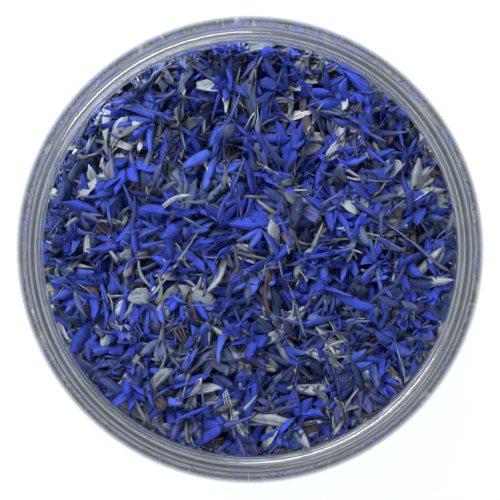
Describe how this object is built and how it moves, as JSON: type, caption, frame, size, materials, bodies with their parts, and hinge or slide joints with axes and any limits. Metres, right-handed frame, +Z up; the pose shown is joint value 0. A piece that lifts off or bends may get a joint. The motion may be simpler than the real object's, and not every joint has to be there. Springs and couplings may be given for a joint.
{
  "type": "glass jar of dried cornflower petals",
  "caption": "An open, round, wide-mouthed clear glass jar with a screw-thread neck, filled nearly to the lip with loose dried blue cornflower petals",
  "frame": {"origin": "under the middle of the jar's foot, on the surface that it stands on", "axes": "+Z runs up along the jar's axis to its mouth; the jar is round, so +X and +Y are level, with +Y towards the back of the view"},
  "size_m": [0.1028, 0.1028, 0.065],
  "materials": {
    "glass": "polished",
    "petals": "matte"
  },
  "bodies": {
    "root": {"glass_jar": "glass", "dried_petals": "petals"}
  },
  "joints": []
}
